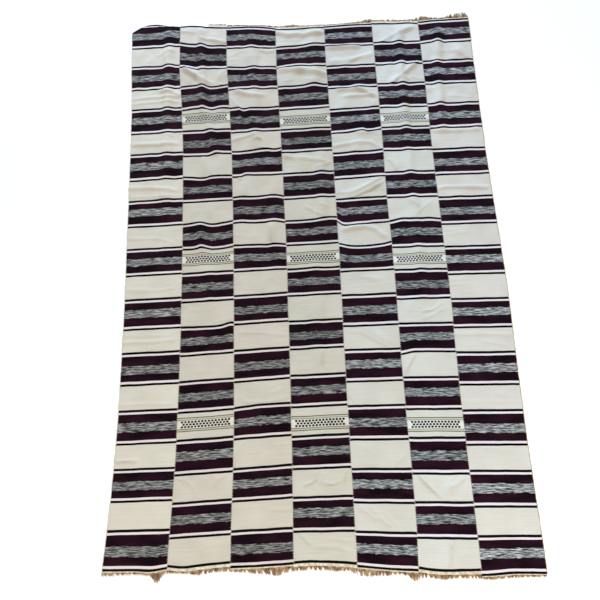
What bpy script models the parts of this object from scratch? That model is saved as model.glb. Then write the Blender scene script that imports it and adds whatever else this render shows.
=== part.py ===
"""Handwoven cotton blanket, spread out flat with the folds it lies in.

Seven narrow woven strips lie side by side. Each strip ends in a narrow woven heading
with its cut warp ends as a short fringe. One end of the first strip, and the corner of
the second beside it, are turned under.

Metres, +Z up. +Y is the far end, +X is the right side and Z = 0 is the surface below.
The tables give places in millimetres on that surface.
"""

import math
from collections import namedtuple

import bmesh
import bpy

MM = 0.001

# Driving sizes, in millimetres
CLOTH_THICKNESS = 2.0
TURNED_THICKNESS = 4.2
PIECE_GAP = 0.3
HEADING_THICKNESS = 1.9

# The middle of the whole outline, in the tables' own coordinates
MIDDLE_X = 0.8
MIDDLE_Y = -2.9

# How finely each piece is divided
STRIP_COLUMNS = 10
STRIP_ROWS = 44
END_BAND = 22.0
INNER_NEAR_Y = -1000.0
INNER_FAR_Y = 1008.0

# The fringe: one lock of warp ends for each pitch of the heading
LOCK_PITCH = 10.6
LOCK_SHARE = 0.42
SHORTEST_LOCK = 2.5
LENGTH_UNEVENNESS = 0.14
LockStep = namedtuple("LockStep", "reach width height")
LOCK_STEPS = (LockStep(0.55, 0.86, 0.92), LockStep(1.0, 0.55, 0.62))

# The lengthwise edges of the strips: the left edge, six seams and the right edge
Section = namedtuple("Section", "y edges")
SECTIONS = (
    Section(1060, (-714, -511, -317, -110, 94, 294, 487, 700)),
    Section(860, (-706, -508, -313, -109, 95, 296, 490, 697)),
    Section(660, (-695, -493, -301, -102, 100, 300, 492, 697)),
    Section(450, (-689, -482, -291, -95, 104, 302, 493, 698)),
    Section(250, (-685, -477, -286, -90, 107, 302, 496, 702)),
    Section(50, (-681, -473, -282, -85, 110, 307, 500, 707)),
    Section(-150, (-677, -471, -280, -84, 111, 309, 504, 711)),
    Section(-350, (-676, -470, -279, -82, 111, 309, 502, 709)),
    Section(-550, (-676, -472, -278, -82, 113, 311, 502, 708)),
    Section(-740, (-681, -476, -280, -82, 115, 315, 505, 709)),
    Section(-930, (-691, -486, -286, -84, 117, 316, 509, 713)),
    Section(-1080, (-702, -492, -288, -85, 118, 311, 510, 715)),
)

# Where each strip's weave ends, from its left edge to its right one in four equal steps
StripEnds = namedtuple("StripEnds", "far near")
STRIP_ENDS = {
    1: StripEnds((1044, 1075, 1082, 1073, 1067), (-1041, -1042, -1043, -1046, -1039)),
    2: StripEnds((1069, 1071, 1066, 1061, 1058), (-1034, -1039, -1035, -1031, -1028)),
    3: StripEnds((1056, 1058, 1057, 1053, 1043), (-1042, -1041, -1040, -1038, -1036)),
    4: StripEnds((1040, 1040, 1041, 1043, 1043), (-1034, -1032, -1034, -1037, -1042)),
    5: StripEnds((1043, 1047, 1049, 1050, 1050), (-1049, -1054, -1059, -1063, -1066)),
    6: StripEnds((1052, 1052, 1049, 1050, 1046), (-1059, -1067, -1070, -1070, -1070)),
    7: StripEnds((1050, 1055, 1058, 1059, 1060), (-1085, -1084, -1081, -1082, -1084)),
}

# The headings: width of each, and the share of the strip that it runs along
Heading = namedtuple("Heading", "end strip width start stop")
HEADINGS = (
    Heading("far", 2, 7.0, 0.52, 1.0),
    Heading("far", 3, 5.0, 0.0, 1.0),
    Heading("far", 4, 8.0, 0.0, 1.0),
    Heading("far", 5, 5.0, 0.0, 1.0),
    Heading("far", 6, 9.0, 0.0, 1.0),
    Heading("far", 7, 5.0, 0.0, 1.0),
    Heading("near", 1, 5.0, 0.0, 1.0),
    Heading("near", 2, 10.0, 0.0, 1.0),
    Heading("near", 3, 5.0, 0.0, 1.0),
    Heading("near", 4, 10.0, 0.0, 1.0),
    Heading("near", 5, 5.0, 0.0, 1.0),
    Heading("near", 6, 10.0, 0.0, 1.0),
    Heading("near", 7, 4.0, 0.0, 1.0),
)

# How far the fringe reaches along each end
Reach = namedtuple("Reach", "x y")
REACHES = {
    "far": (
        Reach(-420, 1074), Reach(-335, 1079), Reach(-300, 1070), Reach(-250, 1069),
        Reach(-215, 1064), Reach(-170, 1063), Reach(-125, 1060), Reach(-90, 1056),
        Reach(-35, 1061), Reach(0, 1054), Reach(60, 1055), Reach(120, 1055),
        Reach(170, 1057), Reach(225, 1064), Reach(283, 1077), Reach(310, 1069),
        Reach(370, 1069), Reach(415, 1064), Reach(455, 1066), Reach(500, 1081),
        Reach(545, 1075), Reach(585, 1068), Reach(625, 1084), Reach(675, 1091),
        Reach(700, 1090),
    ),
    "near": (
        Reach(-700, -1057), Reach(-640, -1053), Reach(-560, -1056), Reach(-523, -1082),
        Reach(-492, -1055), Reach(-440, -1054), Reach(-388, -1060), Reach(-340, -1053),
        Reach(-290, -1053), Reach(-245, -1056), Reach(-175, -1065), Reach(-125, -1069),
        Reach(-90, -1058), Reach(0, -1055), Reach(50, -1061), Reach(85, -1060),
        Reach(125, -1076), Reach(205, -1078), Reach(255, -1074), Reach(297, -1096),
        Reach(330, -1086), Reach(385, -1093), Reach(450, -1090), Reach(535, -1096),
        Reach(610, -1093), Reach(715, -1091),
    ),
}

# Places where the locks lean together, with how far each pulls
Clump = namedtuple("Clump", "end x spread pull")
CLUMPS = (
    Clump("far", -270, 45, 0.40),
    Clump("far", -40, 40, 0.35),
    Clump("far", 280, 45, 0.45),
    Clump("far", 515, 35, 0.40),
    Clump("far", 655, 50, 0.40),
    Clump("near", -523, 32, 0.50),
    Clump("near", -390, 35, 0.35),
    Clump("near", -145, 38, 0.45),
    Clump("near", 40, 35, 0.35),
    Clump("near", 140, 35, 0.40),
    Clump("near", 296, 30, 0.50),
    Clump("near", 385, 40, 0.35),
    Clump("near", 540, 35, 0.35),
)

# The folds: soft ridges from one place to another, each with its height and half width
Fold = namedtuple("Fold", "x0 y0 x1 y1 height half_width")
FOLDS = (
    Fold(-556, 1080, -550, 560, 10, 34),
    Fold(-550, 640, -545, 210, 7, 34),
    Fold(-700, 985, -640, 1010, 5, 30),
    Fold(-424, 1085, -404, 620, 13, 30),
    Fold(-404, 700, -352, 430, 9, 30),
    Fold(-510, 878, -392, 798, 9, 26),
    Fold(-410, 200, -406, 30, 7, 30),
    Fold(-370, 0, -368, -180, 6, 30),
    Fold(-212, 1075, -196, 440, 8, 38),
    Fold(-262, 680, -250, 580, 6, 24),
    Fold(-140, 190, -137, 40, 5, 32),
    Fold(48, 1060, 42, 690, 8, 46),
    Fold(52, 490, 56, 130, 8, 36),
    Fold(22, 70, 8, -440, 5, 40),
    Fold(172, 774, 300, 696, 9, 27),
    Fold(122, 246, 304, 322, 8, 27),
    Fold(120, 80, 132, -60, 7, 30),
    Fold(180, -258, 292, -336, 6, 26),
    Fold(402, 1060, 398, 480, 10, 30),
    Fold(398, 560, 406, -190, 8, 32),
    Fold(334, 734, 482, 866, 10, 26),
    Fold(340, 976, 482, 1044, 7, 28),
    Fold(332, -764, 394, -842, 6, 26),
    Fold(486, -786, 394, -842, 6, 26),
    Fold(425, -930, 425, -1050, 5, 26),
    Fold(567, 1070, 556, 840, 10, 28),
    Fold(548, 900, 540, 500, 9, 30),
    Fold(585, 930, 696, 868, 5, 30),
)

# Colour as linear red, green and blue, and roughness, of each kind of piece
Finish = namedtuple("Finish", "colour roughness")
CREAM_COTTON = Finish((0.70, 0.68, 0.58), 0.9)
RAW_WARP = Finish((0.50, 0.39, 0.27), 0.95)


def ease(share):
    """Rise gently from 0 to 1 as the share runs from 0 to 1."""
    share = min(max(share, 0.0), 1.0)
    return share * share * (3.0 - 2.0 * share)


def smooth_between(places, values, at):
    """Read a smooth curve through the values, which stand at rising places."""
    if at <= places[0]:
        return values[0]
    if at >= places[-1]:
        return values[-1]
    last = len(places) - 1
    k = max(i for i in range(last) if places[i] <= at)

    def slope(i):
        before = max(i - 1, 0)
        after = min(i + 1, last)
        return (values[after] - values[before]) / (places[after] - places[before])

    span = places[k + 1] - places[k]
    t = (at - places[k]) / span
    start = (2 * t**3 - 3 * t**2 + 1) * values[k] + (t**3 - 2 * t**2 + t) * span * slope(k)
    end = (3 * t**2 - 2 * t**3) * values[k + 1] + (t**3 - t**2) * span * slope(k + 1)
    return start + end


def edge_x(edge, y):
    """Where a lengthwise edge or seam runs at this y."""
    rising = SECTIONS[::-1]
    places = [section.y for section in rising]
    values = [section.edges[edge] for section in rising]
    return smooth_between(places, values, y)


def across(strip, share, y):
    """The x at a share of the strip's width, inside the gap to its neighbours."""
    left = edge_x(strip - 1, y) + PIECE_GAP / 2
    right = edge_x(strip, y) - PIECE_GAP / 2
    return left + (right - left) * share


def end_y(strip, end, share):
    """Where the strip's weave ends, at a share of its width."""
    row = getattr(STRIP_ENDS[strip], end)
    return smooth_between([0.0, 0.25, 0.5, 0.75, 1.0], row, share)


def fold_height(x, y):
    """How high the folds lift the cloth off the surface."""
    height = 0.0
    for fold in FOLDS:
        run_x = fold.x1 - fold.x0
        run_y = fold.y1 - fold.y0
        length = math.hypot(run_x, run_y)
        along = ((x - fold.x0) * run_x + (y - fold.y0) * run_y) / length
        aside = abs((x - fold.x0) * run_y - (y - fold.y0) * run_x) / length
        fade = min(2.2 * fold.half_width, 0.5 * length)
        ends = ease(along / fade) * ease((length - along) / fade)
        profile = 0.5 + 0.5 * math.cos(math.pi * min(aside / fold.half_width, 1.0))
        height = max(height, fold.height * ends * profile)
    return height


def woven_edge_y(strip, end, share):
    """The same end as the strip's own columns draw it, straight from column to column."""
    column = min(int(share * STRIP_COLUMNS), STRIP_COLUMNS - 1)
    before = end_y(strip, end, column / STRIP_COLUMNS)
    after = end_y(strip, end, (column + 1) / STRIP_COLUMNS)
    return before + (after - before) * (share * STRIP_COLUMNS - column)


def flatten_at_ends(strip, share, y):
    """Fade from 1 to 0 over the last stretch before either end, which lies level."""
    to_far = end_y(strip, "far", share) - y
    to_near = y - end_y(strip, "near", share)
    return ease(min(to_far, to_near) / 30.0)


def layer_thickness(strip, share, y):
    """One layer of cloth, or two where the far end is turned under."""
    turned_share = {1: 1.0, 2: 0.45}.get(strip, 0.0)
    from_end = end_y(strip, "far", share) - y
    turned = ease((38.0 - from_end) / 14.0) * ease((turned_share - share) / 0.08 + 1.0)
    return CLOTH_THICKNESS + (TURNED_THICKNESS - CLOTH_THICKNESS) * turned


def to_world(x, y, z):
    """Table millimetres to metres about the middle of the outline."""
    return ((x - MIDDLE_X) * MM, (y - MIDDLE_Y) * MM, z * MM)


def make_material(name, finish):
    material = bpy.data.materials.new(name)
    material.use_nodes = True
    shader = material.node_tree.nodes["Principled BSDF"]
    shader.inputs["Base Color"].default_value = (*finish.colour, 1.0)
    shader.inputs["Roughness"].default_value = finish.roughness
    shader.inputs["Metallic"].default_value = 0.0
    return material


def finish_object(bm, name, finish, collection):
    bmesh.ops.recalc_face_normals(bm, faces=bm.faces)
    mesh = bpy.data.meshes.new(name)
    bm.to_mesh(mesh)
    bm.free()
    mesh.materials.append(make_material(name + "_cotton", finish))
    piece = bpy.data.objects.new(name, mesh)
    collection.objects.link(piece)
    return piece


def raise_sheet(bm, thickness):
    """Close an open sheet by extruding it straight up, so that its sides stay upright."""
    raised = bmesh.ops.extrude_face_region(bm, geom=bm.faces[:])
    for element in raised["geom"]:
        if isinstance(element, bmesh.types.BMVert):
            element.co.z += element[thickness]


def strip_row_y(strip, share, row):
    """The y of a row: the two outer rows at each end follow it, the rest run straight."""
    near = end_y(strip, "near", share)
    far = end_y(strip, "far", share)
    if row < 2:
        return near + row * END_BAND
    if row > STRIP_ROWS - 2:
        return far - (STRIP_ROWS - row) * END_BAND
    step = (INNER_FAR_Y - INNER_NEAR_Y) / (STRIP_ROWS - 4)
    return INNER_NEAR_Y + (row - 2) * step


def make_strip(strip, collection):
    """A grid laid out between its two seams, lifted by the folds and given its thickness."""
    bm = bmesh.new()
    bmesh.ops.create_grid(bm, x_segments=STRIP_COLUMNS, y_segments=STRIP_ROWS, size=0.5)
    thickness = bm.verts.layers.float.new("thickness")
    for vertex in bm.verts:
        share = vertex.co.x + 0.5
        row = round((vertex.co.y + 0.5) * STRIP_ROWS)
        y = strip_row_y(strip, share, row)
        x = across(strip, share, y)
        z = fold_height(x, y) * flatten_at_ends(strip, share, y)
        vertex.co = to_world(x, y, z)
        vertex[thickness] = layer_thickness(strip, share, y) * MM
    raise_sheet(bm, thickness)
    return finish_object(bm, f"strip_{strip}", CREAM_COTTON, collection)


def reach_y(end, x):
    """How far the fringe reaches at this x."""
    row = REACHES[end]
    return smooth_between([reach.x for reach in row], [reach.y for reach in row], x)


def tip_x(heading, x, y):
    """Where a lock's tip lies: it leans towards the clumps near it, within its own strip."""
    lean = 0.0
    for clump in CLUMPS:
        if clump.end == heading.end:
            off = (clump.x - x) / clump.spread
            lean += clump.pull * (clump.x - x) * math.exp(-off * off)
    margin = LOCK_PITCH * LOCK_SHARE / 2 + PIECE_GAP
    left = edge_x(heading.strip - 1, y) + margin
    right = edge_x(heading.strip, y) - margin
    return min(max(x + lean, left), right)


def lock_length(heading, lock, x, y):
    """Length of a lock beyond its heading, or 0 where the fringe is worn away."""
    length = abs(reach_y(heading.end, x) - y)
    uneven = 1.0 - LENGTH_UNEVENNESS * (0.5 + 0.5 * math.sin(4.6 * lock))
    return length * uneven if length > SHORTEST_LOCK else 0.0


def heading_shares(heading):
    """Shares of the strip's width where the heading is divided into locks and spaces."""
    y = end_y(heading.strip, heading.end, 0.5)
    width = edge_x(heading.strip, y) - edge_x(heading.strip - 1, y)
    locks = round(width * (heading.stop - heading.start) / LOCK_PITCH)
    pitch = (heading.stop - heading.start) / locks
    space = pitch * (1.0 - LOCK_SHARE) / 2
    shares = [heading.start]
    for lock in range(locks):
        shares.append(heading.start + lock * pitch + space)
        shares.append(heading.start + (lock + 1) * pitch - space)
    shares.append(heading.stop)
    return shares


def make_fringe(heading, collection):
    """A flat bar beside the cloth's end, whose outer side is drawn out into locks."""
    outward = 1.0 if heading.end == "far" else -1.0
    shares = heading_shares(heading)
    bm = bmesh.new()
    bmesh.ops.create_grid(bm, x_segments=len(shares) - 1, y_segments=1, size=0.5)
    thickness = bm.verts.layers.float.new("thickness")
    column_of = bm.verts.layers.int.new("column")
    outer_row = bm.verts.layers.int.new("outer")
    for vertex in bm.verts:
        column = round((vertex.co.x + 0.5) * (len(shares) - 1))
        outer = vertex.co.y * outward > 0
        off = PIECE_GAP + (heading.width if outer else 0.0)
        y = woven_edge_y(heading.strip, heading.end, shares[column]) + outward * off
        vertex[column_of] = column
        vertex[outer_row] = int(outer)
        vertex[thickness] = HEADING_THICKNESS * MM
        vertex.co = to_world(across(heading.strip, shares[column], y), y, 0.0)
    raise_sheet(bm, thickness)

    for side in [face for face in bm.faces if all(v[outer_row] for v in face.verts)]:
        column = min(v[column_of] for v in side.verts)
        if column % 2 == 1:
            draw_out_lock(bm, side, heading, column // 2, outward)
    return finish_object(bm, f"fringe_{heading.end}_{heading.strip}", RAW_WARP, collection)


def draw_out_lock(bm, face, heading, lock, outward):
    """Extrude one side face of the heading into a tapering lock, level on the surface."""
    root = face.calc_center_median()
    x = root.x / MM + MIDDLE_X
    y = root.y / MM + MIDDLE_Y
    length = lock_length(heading, lock, x, y) * MM
    lean = (tip_x(heading, x, y) - x) * MM
    if length == 0.0:
        return
    for step in LOCK_STEPS:
        face = bmesh.ops.extrude_discrete_faces(bm, faces=[face])["faces"][0]
        middle = face.calc_center_median()
        half = LOCK_PITCH * LOCK_SHARE / 2 * step.width * MM
        for vertex in face.verts:
            side = math.copysign(half, vertex.co.x - middle.x)
            top = HEADING_THICKNESS * MM * step.height if vertex.co.z > middle.z else 0.0
            vertex.co.x = root.x + lean * step.reach + side
            vertex.co.y = root.y + outward * length * step.reach
            vertex.co.z = top


def main():
    for old in list(bpy.data.objects):
        bpy.data.objects.remove(old)
    collection = bpy.data.collections.new("handwoven_cotton_blanket")
    bpy.context.scene.collection.children.link(collection)
    for strip in STRIP_ENDS:
        make_strip(strip, collection)
    for heading in HEADINGS:
        make_fringe(heading, collection)


main()
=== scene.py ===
# %% [markdown]
# # A handwoven cotton blanket, spread out
#
# Seven narrow strips come off a narrow loom, each with the same repeat of dark striped
# blocks and plain cream ones. Every second strip is shifted by one block, so that the
# strips, sewn edge to edge, make a chequered cloth. This script gives the blanket its
# woven surface: fine sheets of cloth laid over the folds, the bands of colour, the whip
# stitches of the seams and the loose warp ends.

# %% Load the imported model
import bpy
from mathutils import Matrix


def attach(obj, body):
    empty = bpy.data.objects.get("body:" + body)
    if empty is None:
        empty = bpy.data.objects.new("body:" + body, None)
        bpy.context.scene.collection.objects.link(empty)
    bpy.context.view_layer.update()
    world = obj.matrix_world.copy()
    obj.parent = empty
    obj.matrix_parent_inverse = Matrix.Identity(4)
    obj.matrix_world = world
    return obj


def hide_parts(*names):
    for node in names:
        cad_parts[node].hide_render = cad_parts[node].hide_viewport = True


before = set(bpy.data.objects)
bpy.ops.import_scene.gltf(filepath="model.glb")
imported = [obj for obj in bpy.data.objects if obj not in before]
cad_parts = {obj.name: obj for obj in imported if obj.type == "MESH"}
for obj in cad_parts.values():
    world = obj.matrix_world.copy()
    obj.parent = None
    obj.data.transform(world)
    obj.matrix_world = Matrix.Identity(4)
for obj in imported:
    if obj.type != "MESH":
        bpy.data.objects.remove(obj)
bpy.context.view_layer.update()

# %% Modules and units
import math
from collections import namedtuple

import bpy
import numpy as np
from mathutils import Matrix, Vector

MM = 0.001

# %% [markdown]
# ## Where the cloth lies
#
# The strips are not straight: each seam wanders a little, and each end was cut by eye.
# A short table gives the eight lengthwise edges at twelve places along the blanket, and
# another gives each strip's two ends. All of these are real sizes in millimetres on the
# floor, and the blanket's middle is the origin. A smooth curve through a row of values is
# enough to find any point between them.

# %% Lengthwise edges and ends
# The middle of the outline in the tables' own millimetres, and the gap at each seam
MIDDLE_X = 0.8
MIDDLE_Y = -2.9
PIECE_GAP = 0.3

Section = namedtuple("Section", "y edges")
SECTIONS = (
    Section(-1080, (-702, -492, -288, -85, 118, 311, 510, 715)),
    Section(-930, (-691, -486, -286, -84, 117, 316, 509, 713)),
    Section(-740, (-681, -476, -280, -82, 115, 315, 505, 709)),
    Section(-550, (-676, -472, -278, -82, 113, 311, 502, 708)),
    Section(-350, (-676, -470, -279, -82, 111, 309, 502, 709)),
    Section(-150, (-677, -471, -280, -84, 111, 309, 504, 711)),
    Section(50, (-681, -473, -282, -85, 110, 307, 500, 707)),
    Section(250, (-685, -477, -286, -90, 107, 302, 496, 702)),
    Section(450, (-689, -482, -291, -95, 104, 302, 493, 698)),
    Section(660, (-695, -493, -301, -102, 100, 300, 492, 697)),
    Section(860, (-706, -508, -313, -109, 95, 296, 490, 697)),
    Section(1060, (-714, -511, -317, -110, 94, 294, 487, 700)),
)

# Each end from the strip's left edge to its right one, in four equal steps
StripEnds = namedtuple("StripEnds", "far near")
STRIP_ENDS = {
    1: StripEnds((1044, 1075, 1082, 1073, 1067), (-1041, -1042, -1043, -1046, -1039)),
    2: StripEnds((1069, 1071, 1066, 1061, 1058), (-1034, -1039, -1035, -1031, -1028)),
    3: StripEnds((1056, 1058, 1057, 1053, 1043), (-1042, -1041, -1040, -1038, -1036)),
    4: StripEnds((1040, 1040, 1041, 1043, 1043), (-1034, -1032, -1034, -1037, -1042)),
    5: StripEnds((1043, 1047, 1049, 1050, 1050), (-1049, -1054, -1059, -1063, -1066)),
    6: StripEnds((1052, 1052, 1049, 1050, 1046), (-1059, -1067, -1070, -1070, -1070)),
    7: StripEnds((1050, 1055, 1058, 1059, 1060), (-1085, -1084, -1081, -1082, -1084)),
}


def smooth_between(places, values, at):
    """Read a smooth curve through the values, which stand at rising places."""
    places = np.asarray(places, float)
    values = np.asarray(values, float)
    last = len(places) - 1
    before = np.maximum(np.arange(last + 1) - 1, 0)
    after = np.minimum(np.arange(last + 1) + 1, last)
    slope = (values[after] - values[before]) / (places[after] - places[before])
    at = np.clip(at, places[0], places[-1])
    k = np.clip(np.searchsorted(places, at, side="right") - 1, 0, last - 1)
    span = places[k + 1] - places[k]
    t = (at - places[k]) / span
    return ((2 * t**3 - 3 * t**2 + 1) * values[k] + (t**3 - 2 * t**2 + t) * span * slope[k]
            + (3 * t**2 - 2 * t**3) * values[k + 1] + (t**3 - t**2) * span * slope[k + 1])


def edge_x(edge, y):
    """Where a lengthwise edge or seam runs at this y."""
    return smooth_between([s.y for s in SECTIONS], [s.edges[edge] for s in SECTIONS], y)


def across(strip, share, y):
    """The x at a share of the strip's width."""
    left = edge_x(strip - 1, y) + PIECE_GAP / 2
    right = edge_x(strip, y) - PIECE_GAP / 2
    return left + (right - left) * share


def end_y(strip, end, share):
    """Where the strip's weave ends, at a share of its width."""
    return smooth_between((0, 0.25, 0.5, 0.75, 1), getattr(STRIP_ENDS[strip], end), share)


def to_world(x, y, z):
    """Table millimetres to metres about the middle of the blanket."""
    return np.stack([(x - MIDDLE_X) * MM, (y - MIDDLE_Y) * MM, z * MM], axis=-1)


print("width of each strip half way along, in mm:",
      [round(float(edge_x(k, 0.0) - edge_x(k - 1, 0.0))) for k in range(1, 8)])

# %% [markdown]
# ## The folds it lies in
#
# A blanket that was folded in a cupboard keeps soft lengthwise ridges where it lay double,
# and short slanting creases where somebody pulled it straight. They could come from a cloth
# simulation, but then they would lie where chance puts them. Here each fold is a row in a
# table: where it starts and ends, how high it stands and how wide it spreads. Its profile
# is one hump of a cosine, so it runs into the flat cloth without an edge.

# %% Main folds
Fold = namedtuple("Fold", "x0 y0 x1 y1 height half_width")
MAIN_FOLDS = (
    Fold(-556, 1080, -550, 560, 10, 34),
    Fold(-550, 640, -545, 210, 7, 34),
    Fold(-700, 985, -640, 1010, 5, 30),
    Fold(-424, 1085, -404, 620, 11, 30),
    Fold(-404, 700, -352, 430, 9, 30),
    Fold(-510, 878, -392, 798, 9, 26),
    Fold(-410, 200, -406, 30, 7, 30),
    Fold(-370, 0, -368, -180, 6, 30),
    Fold(-212, 1075, -196, 440, 8, 38),
    Fold(-262, 680, -250, 580, 6, 24),
    Fold(-140, 190, -137, 40, 5, 32),
    Fold(48, 1060, 42, 690, 8, 46),
    Fold(52, 490, 56, 130, 8, 36),
    Fold(22, 70, 8, -440, 5, 40),
    Fold(172, 774, 300, 696, 6, 27),
    Fold(122, 246, 304, 322, 5, 27),
    Fold(120, 80, 132, -60, 7, 30),
    Fold(180, -258, 292, -336, 4, 26),
    Fold(402, 1060, 398, 480, 10, 30),
    Fold(398, 560, 406, -190, 8, 32),
    Fold(334, 734, 482, 866, 7, 26),
    Fold(340, 976, 482, 1044, 5, 28),
    Fold(332, -764, 394, -842, 4, 26),
    Fold(486, -786, 394, -842, 3, 26),
    Fold(425, -930, 425, -1050, 5, 26),
    Fold(567, 1045, 556, 840, 10, 28),
    Fold(548, 900, 540, 500, 9, 30),
    Fold(585, 930, 696, 868, 5, 30),
)
# A fold dies away over this many half widths at each end
FOLD_FADE = 2.2
# The slow waviness: how long its waves are each way, and how high, more so at the far end
WAVES = 26
WAVE_LENGTHS_ACROSS = (55, 190)
WAVE_LENGTHS_ALONG = (70, 260)
WAVE_HEIGHT = 0.14
WAVE_GROWTH = 0.16
WAVES_GROW_FROM = -300
WAVES_GROW_OVER = 1100


def hump(fold, x, y):
    """Height of one fold over the flat cloth at these places."""
    run_x = fold.x1 - fold.x0
    run_y = fold.y1 - fold.y0
    length = math.hypot(run_x, run_y)
    along = ((x - fold.x0) * run_x + (y - fold.y0) * run_y) / length
    aside = np.abs((x - fold.x0) * run_y - (y - fold.y0) * run_x) / length
    fade = min(FOLD_FADE * fold.half_width, 0.5 * length)
    ends = ease(along / fade) * ease((length - along) / fade)
    profile = 0.5 + 0.5 * np.cos(np.pi * np.minimum(aside / fold.half_width, 1.0))
    return fold.height * ends * profile


def main_fold_height(x, y):
    """Height of the tallest main fold at these places."""
    total = np.zeros(np.shape(x))
    for fold in MAIN_FOLDS:
        total = np.maximum(total, hump(fold, x, y))
    return total


def ease(share):
    """Rise gently from 0 to 1 as the share runs from 0 to 1."""
    share = np.clip(share, 0.0, 1.0)
    return share * share * (3.0 - 2.0 * share)


def unevenness(x, y, seed=5):
    """The cloth's slow waviness, a millimetre or two, as a sum of long waves."""
    rng = np.random.default_rng(seed)
    total = np.zeros_like(x)
    for _ in range(WAVES):
        wavelength_x = rng.uniform(*WAVE_LENGTHS_ACROSS)
        wavelength_y = rng.uniform(*WAVE_LENGTHS_ALONG)
        phase = rng.uniform(0, 2 * math.pi)
        lean = rng.choice([-1.0, 1.0])
        total += np.sin(2 * math.pi * (x / wavelength_x + lean * y / wavelength_y) + phase)
    return total * (WAVE_HEIGHT + WAVE_GROWTH * ease((y - WAVES_GROW_FROM) / WAVES_GROW_OVER))


print("main folds:", len(MAIN_FOLDS), "at most", max(fold.height for fold in MAIN_FOLDS), "mm high")

# %% [markdown]
# ## The creases
#
# Over the main folds lie the creases: where the cloth was crumpled or drawn askew it keeps
# thin bent ridges with a sharp crest. Each is a short chain of points, like a line drawn on
# the cloth with chalk, and its height falls off to either side. The places were read off the
# view of somebody who stands at the near end. From there a raised crest seems to lie farther
# off than it does, by its height, so every crease is drawn back by that much.

# %% Creases
# Widths are to the left and to the right of somebody who walks along the points
Crease = namedtuple("Crease", "height left right points")
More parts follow.
